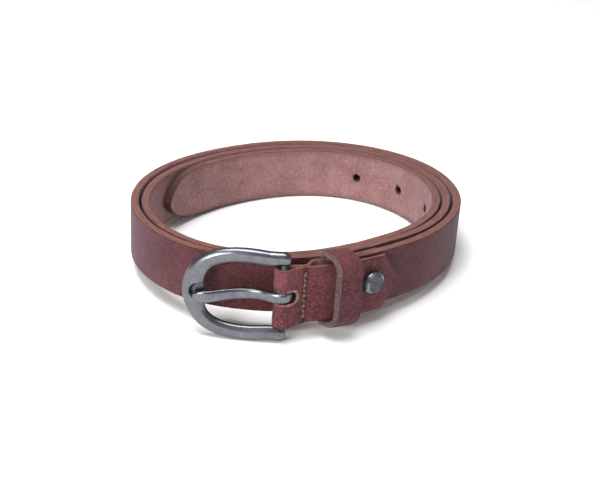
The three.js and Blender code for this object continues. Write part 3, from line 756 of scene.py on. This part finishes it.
def make_frame():
    line = frame_line()
    length = line.length
    steps = 290
    sides = 56
    rings = []
    spots = []
    wear_and_highlight = []
    stops = [ARM_END_ROUND * (k / 12) ** 2 for k in range(12)]
    stops += list(np.linspace(ARM_END_ROUND, length - ARM_END_ROUND, steps))
    stops += [length - ARM_END_ROUND * (k / 12) ** 2 for k in range(11, -1, -1)]
    for stop in stops:
        middle = line.at(stop)
        heading = line.heading(min(max(stop, 0.3), length - 0.3))
        side = Vector((heading.y, -heading.x))
        widen = ramp(1 - abs(middle.y) / ARM_RISE)
        from_end = min(stop, length - stop)
        left = 1 - min(1, 0.002 + from_end / ARM_END_ROUND)
        round_off = (1 - left**2.2) ** (1 / 2.2)
        half_width = mix(ARM_WIDTH, END_WIDTH, widen) / 2 * round_off
        half_thick = FRAME_THICKNESS / 2 * round_off
        ring = []
        for k in range(sides):
            c, s = turned(360 * (k + 0.5) / sides)
            across = half_width * math.copysign(abs(c) ** 0.78, c)
            out = half_thick * math.copysign(abs(s) ** 0.82, s)
            inward = across / half_width if half_width else 0
            if out > 0:
                out *= 1 - 0.3 * ramp((inward * -side.dot(middle.normalized()) + 0.35) / 1.35)
                out += 0.12 * math.exp(-((abs(inward) - 0.45) ** 2) / 0.02)
            spot = middle + side * across
            place_out = out + bow_at(spot.x)
            if out > 0:
                place_out = min(place_out, notch_limit(spot.x, spot.y))
            wear = 0.04 * rough(spot.x, spot.y, out, 6) + 0.012 * rough(spot.x, spot.y, out, 0.9)
            ring.append(on_buckle(spot.x, spot.y, place_out + (wear if out > 0 else 0)))
            spots.append((spot.x, spot.y, out))
            wear_and_highlight.append(ramp(0.5 + 0.5 * s) * (0.4 if place_out < out + bow_at(spot.x) - 0.1 else 1))
        rings.append(ring)
    return skin("frame_metal", rings, {"spot": spots, "wear_and_highlight": wear_and_highlight})


def prong_width(reach, tip_reach):
    body = mix(PRONG_WIDTH, PRONG_END_WIDTH, ramp((reach - 6) / 24))
    return mix(body, PRONG_TIP_WIDTH, ramp((reach - tip_reach + 4.5) / 4.5))


def make_prong():
    tip_reach = FRAME_REACH - 4.6
    inner = FRAME_REACH - END_WIDTH

    def seat(reach):
        return bow_at(reach) + NOTCH_FLOOR + FIT_GAP + PRONG_THICKNESS / 2

    points = []
    for turn in range(250, -1, -25):
        c, s = turned(turn)
        points.append((-EYE_RADIUS * s, EYE_RADIUS * c))
    points += [
        (EYE_RADIUS * 0.75, EYE_RADIUS * 0.88),
        (tip_reach * 0.15, EYE_RADIUS * 0.45),
        (tip_reach * 0.25, -PRONG_DIP * 0.35),
        (tip_reach * 0.37, -PRONG_DIP * 0.95),
        (tip_reach * 0.52, -PRONG_DIP),
        (tip_reach * 0.68, -PRONG_DIP * 0.35),
        (inner - 1.5, seat(inner) + 0.1),
        (inner + 2, seat(inner + 2) + 0.1),
        (tip_reach, seat(tip_reach)),
    ]
    line = Line(centripetal(points))
    steps = 190
    rings = []
    spots = []
    wear_and_highlight = []
    for step in range(steps + 1):
        stop = line.length * step / steps
        middle = line.at(stop)
        heading = line.heading(min(max(stop, 0.3), line.length - 0.3))
        side = Vector((-heading.y, heading.x))
        share = step / steps
        taper = ramp((share - 0.75) / 0.25)
        end = line.length - stop
        half_width = prong_width(middle.x, tip_reach) / 2
        half_thick = mix(PRONG_THICKNESS, PRONG_TIP_THICKNESS, taper) / 2
        blunt = math.sqrt(1 - (1 - min(1, 0.3 + end / 0.9)) ** 2)
        ring = []
        for k in range(28):
            c, s = turned(360 * (k + 0.5) / 28)
            rise = half_width * blunt * math.copysign(abs(c) ** 0.5, c)
            out = half_thick * math.copysign(abs(s) ** 0.55, s)
            if out > 0:
                out *= 1 - 0.28 * (rise / half_width) ** 2
                out -= 0.9 * half_thick * (1 - ramp(end / 2.2))
            out *= blunt
            spot = middle + side * out
            hang = PRONG_RISE - spot.x * math.tan(math.radians(PRONG_TILT))
            ring.append(on_buckle(spot.x, hang + rise, spot.y + 0.015 * rough(spot.x, rise, out, 2)))
            spots.append((stop + 300, rise, out))
            wear_and_highlight.append(ramp(0.55 + 0.45 * s))
        rings.append(ring)
    return skin("prong_metal", rings, {"spot": spots, "wear_and_highlight": wear_and_highlight})


# ---- Rivet cap ----
def make_rivet_cap():
    foot = FIT_GAP + TAB_FRONT + FIT_GAP
    top = foot + CAP_HEIGHT
    profile = [(0.3, foot + 1.44), (1.8, foot + 1.44), (1.8, foot), (CAP_RADIUS - 0.3, foot)]
    rim = top - CAP_BEVEL
    profile += [(CAP_RADIUS - 0.08, foot + 0.12), (CAP_RADIUS, foot + 0.4), (CAP_RADIUS, rim - 0.15)]
    profile += [(CAP_RADIUS - 0.03, rim - 0.04), (CAP_RADIUS - 0.1, rim + 0.06)]
    inner = CAP_RADIUS - CAP_BEVEL
    profile += [(inner + 0.1, top - 0.1), (inner + 0.02, top - 0.03), (inner - 0.08, top)]
    profile += [(inner - 0.5, top), (2.4, top - 0.02), (1.2, top - 0.03), (0.1, top - 0.03)]
    outward = outward_at(RIVET_ANGLE)
    along = along_at(RIVET_ANGLE)
    plan = track(RIVET_ANGLE, 0)
    rings = []
    spots = []
    wear_and_highlight = []
    for radius, out in profile:
        ring = []
        for k in range(72):
            c, s = turned(5 * k)
            dent = 0.05 * rough(radius * c, radius * s, out, 2.2)
            spot = plan + outward * (out + (dent if out > foot + 1.5 else 0)) + along * radius * c
            ring.append(place(spot.x, spot.y, RIVET_HEIGHT + radius * s))
            spots.append((radius * c + 700, radius * s, out))
            # Painted highlight, partly rubbed wear: the cap's side and bevel are painted lighter than
            # its flat top, where the bevel catches the top light.
            wear_and_highlight.append(1.5 if foot + 0.5 < out < top - 0.05 else 0)
        rings.append(ring)
    return skin("rivet_metal", rings, {"spot": spots, "wear_and_highlight": wear_and_highlight})


# ---- Materials ----
class Nodes:
    """One material and short ways to add nodes to it."""

    def __init__(self, name):
        self.material = bpy.data.materials.new(name)
        self.material.use_nodes = True
        self.tree = self.material.node_tree
        self.shader = self.tree.nodes["Principled BSDF"]

    def add(self, kind, **settings):
        node = self.tree.nodes.new(kind)
        for key, value in settings.items():
            setattr(node, key, value)
        return node

    def feed(self, socket, value):
        if isinstance(value, bpy.types.NodeSocket):
            self.tree.links.new(value, socket)
        else:
            socket.default_value = value

    def attribute(self, name, output="Fac"):
        return self.add("ShaderNodeAttribute", attribute_name=name).outputs[output]

    def noise(self, vector, scale, detail=3, roughness=0.55, distortion=0):
        node = self.add("ShaderNodeTexNoise")
        self.feed(node.inputs["Vector"], vector)
        node.inputs["Scale"].default_value = scale
        node.inputs["Detail"].default_value = detail
        node.inputs["Roughness"].default_value = roughness
        node.inputs["Distortion"].default_value = distortion
        return node.outputs["Fac"]

    def cells(self, vector, scale, feature="F1"):
        node = self.add("ShaderNodeTexVoronoi", feature=feature)
        self.feed(node.inputs["Vector"], vector)
        node.inputs["Scale"].default_value = scale
        return node.outputs["Distance"]

    def patches(self, vector, scale):
        node = self.add("ShaderNodeTexVoronoi")
        self.feed(node.inputs["Vector"], vector)
        node.inputs["Scale"].default_value = scale
        return node.outputs["Color"]

    def stretched(self, vector, x, y, z):
        node = self.add("ShaderNodeMapping")
        self.feed(node.inputs["Vector"], vector)
        node.inputs["Scale"].default_value = (x, y, z)
        return node.outputs["Vector"]

    def height_of(self, vector):
        node = self.add("ShaderNodeSeparateXYZ")
        self.feed(node.inputs[0], vector)
        return node.outputs["Y"]

    def maths(self, operation, a, b=0.5):
        node = self.add("ShaderNodeMath", operation=operation)
        self.feed(node.inputs[0], a)
        self.feed(node.inputs[1], b)
        return node.outputs[0]

    def spread(self, value, low, high, to_low=0.0, to_high=1.0):
        node = self.add("ShaderNodeMapRange")
        self.feed(node.inputs["Value"], value)
        node.inputs["From Min"].default_value = low
        node.inputs["From Max"].default_value = high
        node.inputs["To Min"].default_value = to_low
        node.inputs["To Max"].default_value = to_high
        return node.outputs["Result"]

    def mix(self, share, a, b, blend="MIX"):
        node = self.add("ShaderNodeMix", data_type="RGBA", blend_type=blend)
        self.feed(node.inputs[0], share)
        self.feed(node.inputs[6], a if isinstance(a, bpy.types.NodeSocket) else (*a, 1))
        self.feed(node.inputs[7], b if isinstance(b, bpy.types.NodeSocket) else (*b, 1))
        return node.outputs[2]

    def bump(self, height, strength, distance):
        node = self.add("ShaderNodeBump")
        self.feed(node.inputs["Height"], height)
        node.inputs["Strength"].default_value = strength
        node.inputs["Distance"].default_value = distance
        self.feed(self.shader.inputs["Normal"], node.outputs["Normal"])


def leather(name, grain, deep, speck, cut, cut_dark, flesh, flesh_light, flesh_dark, pebble=1.0):
    n = Nodes(name)
    spot = n.attribute("spot", "Vector")
    broad = n.noise(spot, 0.03, 3)
    patch = n.noise(spot, 0.22, 4, 0.6)
    fine = n.noise(spot, 1.9, 4, 0.65)
    cells = n.cells(spot, 1.7)
    grit = n.noise(spot, 4.5, 2, 0.6)

    face = n.mix(n.spread(patch, 0.4, 0.66, 0, 0.8), grain, deep)
    face = n.mix(n.spread(cells, 0.3, 0.75, 0, 0.75 * pebble), face, deep)
    pebbles = n.patches(n.stretched(spot, 1.0, 1.25, 1.0), 1.9)
    face = n.mix(n.spread(pebbles, 0.55, 0.85, 0, 0.55 * pebble), face, speck)
    face = n.mix(n.spread(pebbles, 0.42, 0.15, 0, 0.8 * pebble), face, deep)
    face = n.mix(n.spread(fine, 0.56, 0.7, 0, 0.55 * pebble), face, speck)
    face = n.mix(n.spread(fine, 0.44, 0.3, 0, 0.7 * pebble), face, deep)
    face = n.mix(n.spread(broad, 0.5, 0.7, 0, 0.3), face, speck)

    nap = n.noise(n.stretched(spot, 1.5, 0.5, 1), 1.5, 5, 0.75)
    cloud = n.noise(spot, 0.09, 4, 0.6)
    fleck = n.noise(n.stretched(spot, 0.5, 1, 1), 0.55, 3, 0.75)
    suede = n.mix(n.spread(cloud, 0.38, 0.62, 0, 0.5), flesh, flesh_dark)
    suede = n.mix(n.spread(nap, 0.5, 0.7, 0, 0.65), suede, flesh_light)
    suede = n.mix(n.spread(nap, 0.5, 0.3, 0, 0.6), suede, flesh_dark)
    suede = n.mix(n.spread(fleck, 0.62, 0.7, 0, 0.8), suede, flesh_light)
    border = n.spread(n.maths("ABSOLUTE", n.height_of(spot), 0), 9.5, 12.6, 0, 0.6)
    suede = n.mix(border, suede, flesh_dark)

    streak = n.noise(n.stretched(spot, 0.12, 2, 1.6), 1.0, 4, 0.6)
    raw = n.mix(n.spread(streak, 0.35, 0.68), cut, cut_dark)
    raw = n.mix(n.spread(grit, 0.55, 0.8, 0, 0.5), raw, flesh_light)

    flesh_share = n.attribute("flesh")
    cut_share = n.maths("ADD", n.attribute("cut"), n.spread(fine, 0.3, 0.7, -0.22, 0.22))
    colour = n.mix(n.spread(flesh_share, 0.3, 0.7), face, suede)
    rim = n.maths("MULTIPLY", n.spread(cut_share, 0.05, 0.45), n.spread(cut_share, 0.95, 0.55))
    colour = n.mix(n.maths("MULTIPLY", rim, 0.7), colour, deep)
    colour = n.mix(n.spread(cut_share, 0.5, 0.85), colour, raw)
    # Painted shade: at the strap's tip and along the tab's stitch crease, the colour is pulled towards
    # near-black.
    colour = n.mix(n.maths("MULTIPLY", n.attribute("painted_shade"), 0.85), colour, (0.018, 0.007, 0.007))
    n.feed(n.shader.inputs["Base Color"], colour)

    gloss = n.spread(fine, 0.3, 0.7, 0.46, 0.62)
    dull = n.maths("MAXIMUM", flesh_share, n.attribute("cut"))
    worn = n.maths("MULTIPLY", dull, 0.32)
    n.feed(n.shader.inputs["Roughness"], n.maths("ADD", gloss, worn))
    n.shader.inputs["Specular IOR Level"].default_value = 0.16
    n.shader.inputs["Sheen Weight"].default_value = 0.12
    n.shader.inputs["Sheen Tint"].default_value = (0.6, 0.66, 0.9, 1)

    relief = n.maths("MULTIPLY", cells, -0.6 * pebble)
    relief = n.maths("ADD", relief, n.maths("MULTIPLY", fine, 0.7))
    relief = n.maths("ADD", relief, n.maths("MULTIPLY", nap, n.spread(dull, 0, 1, 0.1, 1.3)))
    relief = n.maths("ADD", relief, n.maths("MULTIPLY", grit, 0.35))
    n.bump(relief, 0.85, 0.0006)
    return n.material


def worn_metal(name, bright, dark, roughness, brushed=0.0):
    n = Nodes(name)
    spot = n.attribute("spot", "Vector")
    wear_and_highlight = n.attribute("wear_and_highlight")
    blotch = n.noise(spot, 0.3, 4, 0.6)
    grit = n.noise(spot, 2.6, 4, 0.75)
    scratch = n.noise(n.stretched(spot, 6, 0.5, 0.5), 1.3, 3, 0.6)
    tarnish = n.maths("ADD", n.maths("MULTIPLY", blotch, 0.4), n.maths("MULTIPLY", grit, 0.7))
    # Rubbed places are painted lighter: on the frame and prong this is rubbed wear; on the rivet cap's
    # side and bevel it is partly a painted highlight.
    tarnish = n.maths("SUBTRACT", tarnish, n.maths("MULTIPLY", wear_and_highlight, 0.35))
    share = n.spread(tarnish, 0.0, 0.66)
    colour = n.mix(share, bright, dark)
    n.feed(n.shader.inputs["Base Color"], colour)
    n.shader.inputs["Metallic"].default_value = 1.0
    rough_here = n.spread(share, 0, 1, roughness, roughness + 0.17)
    rough_here = n.maths("ADD", rough_here, n.spread(scratch, 0.3, 0.7, -0.04, 0.05))
    n.feed(n.shader.inputs["Roughness"], rough_here)
    relief = n.maths("ADD", n.maths("MULTIPLY", blotch, 0.3), n.maths("MULTIPLY", grit, 0.4))
    relief = n.maths("ADD", relief, n.maths("MULTIPLY", scratch, 0.1 + brushed))
    n.bump(relief, 0.2, 0.0001)
    return n.material


def plain_steel(name, light, dark):
    """For parts whose surfaces carry no attributes of their own."""
    n = Nodes(name)
    spot = n.add("ShaderNodeTexCoord").outputs["Object"]
    grit = n.noise(spot, 2600, 4, 0.7)
    blotch = n.noise(spot, 420, 4, 0.6)
    share = n.spread(n.maths("ADD", grit, blotch), 0.8, 1.25)
    n.feed(n.shader.inputs["Base Color"], n.mix(share, light, dark))
    n.shader.inputs["Metallic"].default_value = 1.0
    n.feed(n.shader.inputs["Roughness"], n.spread(share, 0, 1, 0.28, 0.5))
    n.bump(grit, 0.3, 0.00012)
    return n.material


def waxed_thread(name, light, dark, from_attribute=True):
    n = Nodes(name)
    if from_attribute:
        spot = n.attribute("spot", "Vector")
        scale = 1.0
    else:
        spot = n.add("ShaderNodeTexCoord").outputs["Object"]
        scale = 1000.0
    ply = n.noise(spot, 2.4 * scale, 3, 0.6)
    fuzz = n.noise(spot, 9.0 * scale, 3, 0.6)
    share = n.spread(ply, 0.35, 0.65)
    n.feed(n.shader.inputs["Base Color"], n.mix(share, light, dark))
    n.feed(n.shader.inputs["Roughness"], n.spread(fuzz, 0.3, 0.7, 0.6, 0.9))
    n.bump(fuzz, 0.5, 0.00012)
    return n.material


def fibre_material(name, light, dark):
    n = Nodes(name)
    spot = n.add("ShaderNodeTexCoord").outputs["Object"]
    share = n.spread(n.noise(spot, 900, 3, 0.6), 0.35, 0.65)
    n.feed(n.shader.inputs["Base Color"], n.mix(share, light, dark))
    n.feed(n.shader.inputs["Roughness"], n.spread(share, 0, 1, 0.75, 0.95))
    n.bump(n.noise(spot, 5000, 2, 0.5), 0.3, 0.00005)
    return n.material


def floor_material(name):
    n = Nodes(name)
    spot = n.add("ShaderNodeTexCoord").outputs["Object"]
    share = n.noise(spot, 3, 2, 0.5)
    n.feed(n.shader.inputs["Base Color"], n.mix(share, (0.93, 0.93, 0.93), (0.9, 0.9, 0.9)))
    n.shader.inputs["Roughness"].default_value = 0.9
    n.shader.inputs["Specular IOR Level"].default_value = 0.1
    return n.material


def paint(piece, material):
    piece.data.materials.clear()
    piece.data.materials.append(material)


# ---- Build ----
strap_leather = leather(
    "strap_leather",
    grain=(0.104, 0.019, 0.02),
    deep=(0.04, 0.008, 0.009),
    speck=(0.17, 0.055, 0.06),
    cut=(0.25, 0.098, 0.065),
    cut_dark=(0.085, 0.03, 0.023),
    flesh=(0.33, 0.172, 0.168),
    flesh_light=(0.52, 0.335, 0.3),
    flesh_dark=(0.165, 0.074, 0.068),
    pebble=0.95,
)
tab_leather = leather(
    "tab_leather",
    grain=(0.14, 0.028, 0.03),
    deep=(0.046, 0.009, 0.01),
    speck=(0.27, 0.085, 0.095),
    cut=(0.24, 0.088, 0.052),
    cut_dark=(0.09, 0.034, 0.026),
    flesh=(0.33, 0.19, 0.13),
    flesh_light=(0.48, 0.31, 0.22),
    flesh_dark=(0.17, 0.08, 0.055),
)
keeper_leather = leather(
    "keeper_leather",
    grain=(0.1, 0.021, 0.022),
    deep=(0.036, 0.007, 0.008),
    speck=(0.2, 0.06, 0.064),
    cut=(0.14, 0.085, 0.088),
    cut_dark=(0.045, 0.024, 0.028),
    flesh=(0.13, 0.066, 0.042),
    flesh_light=(0.42, 0.28, 0.18),
    flesh_dark=(0.06, 0.03, 0.02),
)
pewter = worn_metal("pewter", (0.21, 0.214, 0.24), (0.022, 0.022, 0.028), 0.24)
rivet_metal = worn_metal("rivet_metal", (0.26, 0.27, 0.31), (0.026, 0.028, 0.036), 0.27, 0.2)
steel = plain_steel("steel", (0.46, 0.46, 0.47), (0.2, 0.2, 0.21))
# Painted shade: the bar is painted near-black, standing in for the shadow between the arms' ends and
# the fold.
bar_steel_painted_shade = plain_steel("bar_steel_painted_shade", (0.12, 0.12, 0.13), (0.04, 0.04, 0.045))
thread_cord = waxed_thread("thread", (0.2, 0.122, 0.078), (0.045, 0.027, 0.019))
bobbin_cord = waxed_thread("thread_plain", (0.3, 0.2, 0.12), (0.13, 0.09, 0.05), False)
tan_fibre = fibre_material("tan_fibre", (0.68, 0.49, 0.38), (0.36, 0.2, 0.15))
grey_fibre = fibre_material("grey_fibre", (0.4, 0.3, 0.27), (0.13, 0.08, 0.08))

strap = make_strap()
paint(strap, strap_leather)
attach(strap, "strap")
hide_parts("strap")

tab = make_tab()
paint(tab, tab_leather)
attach(tab, "strap")
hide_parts("buckle_tab")

slot_fray = make_slot_fray()
paint(slot_fray, tan_fibre)
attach(slot_fray, "strap")

for stitch in make_stitches():
    paint(stitch, thread_cord)
    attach(stitch, "strap")
    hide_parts("needle_thread")

keeper = make_keeper()
paint(keeper, keeper_leather)
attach(keeper, "keeper")
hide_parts("keeper")

keeper_fray = make_keeper_fray()
paint(keeper_fray, grey_fibre)
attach(keeper_fray, "keeper")

buckle = make_frame()
paint(buckle, pewter)
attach(buckle, "buckle")
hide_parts("buckle_frame")

prong = make_prong()
paint(prong, pewter)
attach(prong, "prong")
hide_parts("prong")

rivet = make_rivet_cap()
paint(rivet, rivet_metal)
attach(rivet, "strap")
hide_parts("rivet_cap")

bar_way = LEAN @ Vector((0, 0, 1))
bar_length = (FRAME_OPENING + ARM_WIDTH * 0.7) * MM
bar = cylinder(on_buckle(0, 0, 0), bar_way, (BAR_RADIUS - BAR_SLACK) * MM, bar_length)
bar.name = "bar_metal"
paint(bar, bar_steel_painted_shade)
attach(bar, "buckle")
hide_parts("buckle_bar")

for name in ("rivet_post", "keeper_staple"):
    paint(frame["nodes"][name], steel)
paint(frame["nodes"]["bobbin_thread"], bobbin_cord)

# ---- Floor, light and camera ----
floor_mesh = bpy.data.meshes.new("floor")
floor_mesh.from_pydata([(-4, -4, 0), (4, -4, 0), (4, 4, 0), (-4, 4, 0)], [], [(0, 1, 2, 3)])
floor = bpy.data.objects.new("floor", floor_mesh)
bpy.context.scene.collection.objects.link(floor)
paint(floor, floor_material("floor_paper"))

world = bpy.data.worlds.new("studio")
world.use_nodes = True
world.node_tree.nodes["Background"].inputs["Color"].default_value = (1.0, 1.0, 1.0, 1)
world.node_tree.nodes["Background"].inputs["Strength"].default_value = 0.33
bpy.context.scene.world = world
bpy.context.scene.view_settings.view_transform = "Standard"


def softbox(name, spot, aim, size, power):
    light = bpy.data.lights.new(name, "AREA")
    light.shape = "RECTANGLE"
    light.size, light.size_y = size
    light.energy = power
    lamp = bpy.data.objects.new(name, light)
    lamp.location = spot
    lamp.rotation_euler = (Vector(aim) - Vector(spot)).to_track_quat("-Z", "Y").to_euler()
    bpy.context.scene.collection.objects.link(lamp)


softbox("top_box", (-0.15, -0.1, 0.9), (0, 0, 0), (0.8, 0.45), 12)
softbox("left_box", (-0.68, -0.95, 0.45), (0, 0, 0.02), (0.45, 0.4), 10.5)
softbox("right_box", (1.0, -0.5, 0.4), (0, 0, 0.02), (0.4, 0.5), 0.2)

CAMERA_TARGET = place(2.1, -23.8, 12.5)
CAMERA_DISTANCE = 0.504
CAMERA_LENS = 67.38
elevation = math.radians(25.47)
coil_up = LEAN @ Vector((0, math.sin(elevation), math.cos(elevation)))
coil_back = LEAN @ Vector((0, -math.cos(elevation), math.sin(elevation)))
roll = math.radians(3.6)
right = Vector((1, 0, 0)) * math.cos(roll) + coil_up * math.sin(roll)
up = coil_up * math.cos(roll) - Vector((1, 0, 0)) * math.sin(roll)
camera = bpy.data.cameras.new("camera")
camera.sensor_width = 36
camera.lens = CAMERA_LENS
camera.clip_start = 0.01
eye = bpy.data.objects.new("camera", camera)
turn = Matrix((right, up, coil_back)).transposed().to_4x4()
eye.matrix_world = Matrix.Translation(CAMERA_TARGET + coil_back * CAMERA_DISTANCE) @ turn
bpy.context.scene.collection.objects.link(eye)
bpy.context.scene.camera = eye
